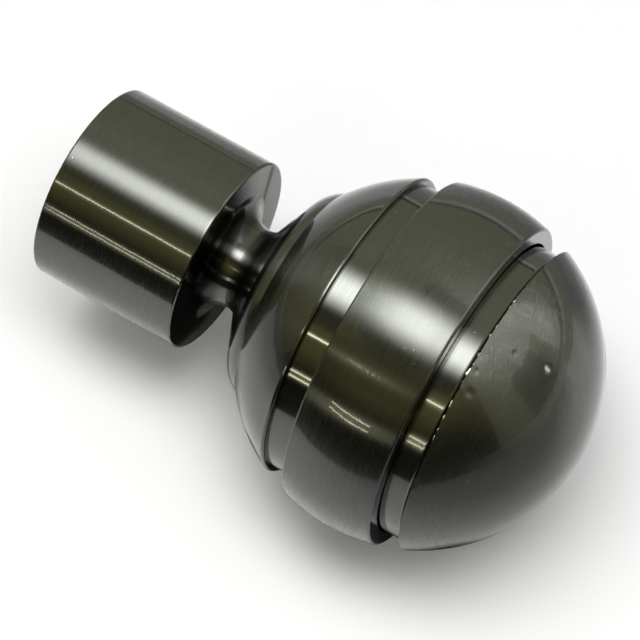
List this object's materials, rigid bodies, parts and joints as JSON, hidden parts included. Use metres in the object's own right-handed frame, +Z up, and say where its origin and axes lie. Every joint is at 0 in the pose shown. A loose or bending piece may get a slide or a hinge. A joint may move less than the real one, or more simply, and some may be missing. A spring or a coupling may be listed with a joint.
{
  "type": "curtain pole finial",
  "caption": "Ball-ended curtain pole finial: a pole socket and waisted neck carrying a ball of nested castings parted by polished grooves, in dark brushed nickel.",
  "frame": {"origin": "centre of the pole socket's floor, where the end of the pole stops", "axes": "+X along the finial's axis from the socket to the ball's tip, +Z up, with the grub screw underneath"},
  "size_m": [0.0875, 0.056, 0.056],
  "materials": {
    "dark_nickel": "dark nickel plate, brushed round the axis and lacquered, polished in the grooves",
    "screw_steel": "bright zinc plate",
    "grub_steel": "black oxide"
  },
  "bodies": {
    "root": {"socket_casting": "dark_nickel", "centre_ring": "dark_nickel", "front_dome": "dark_nickel", "tie_screw": "screw_steel", "grub_screw": "grub_steel"}
  },
  "joints": []
}
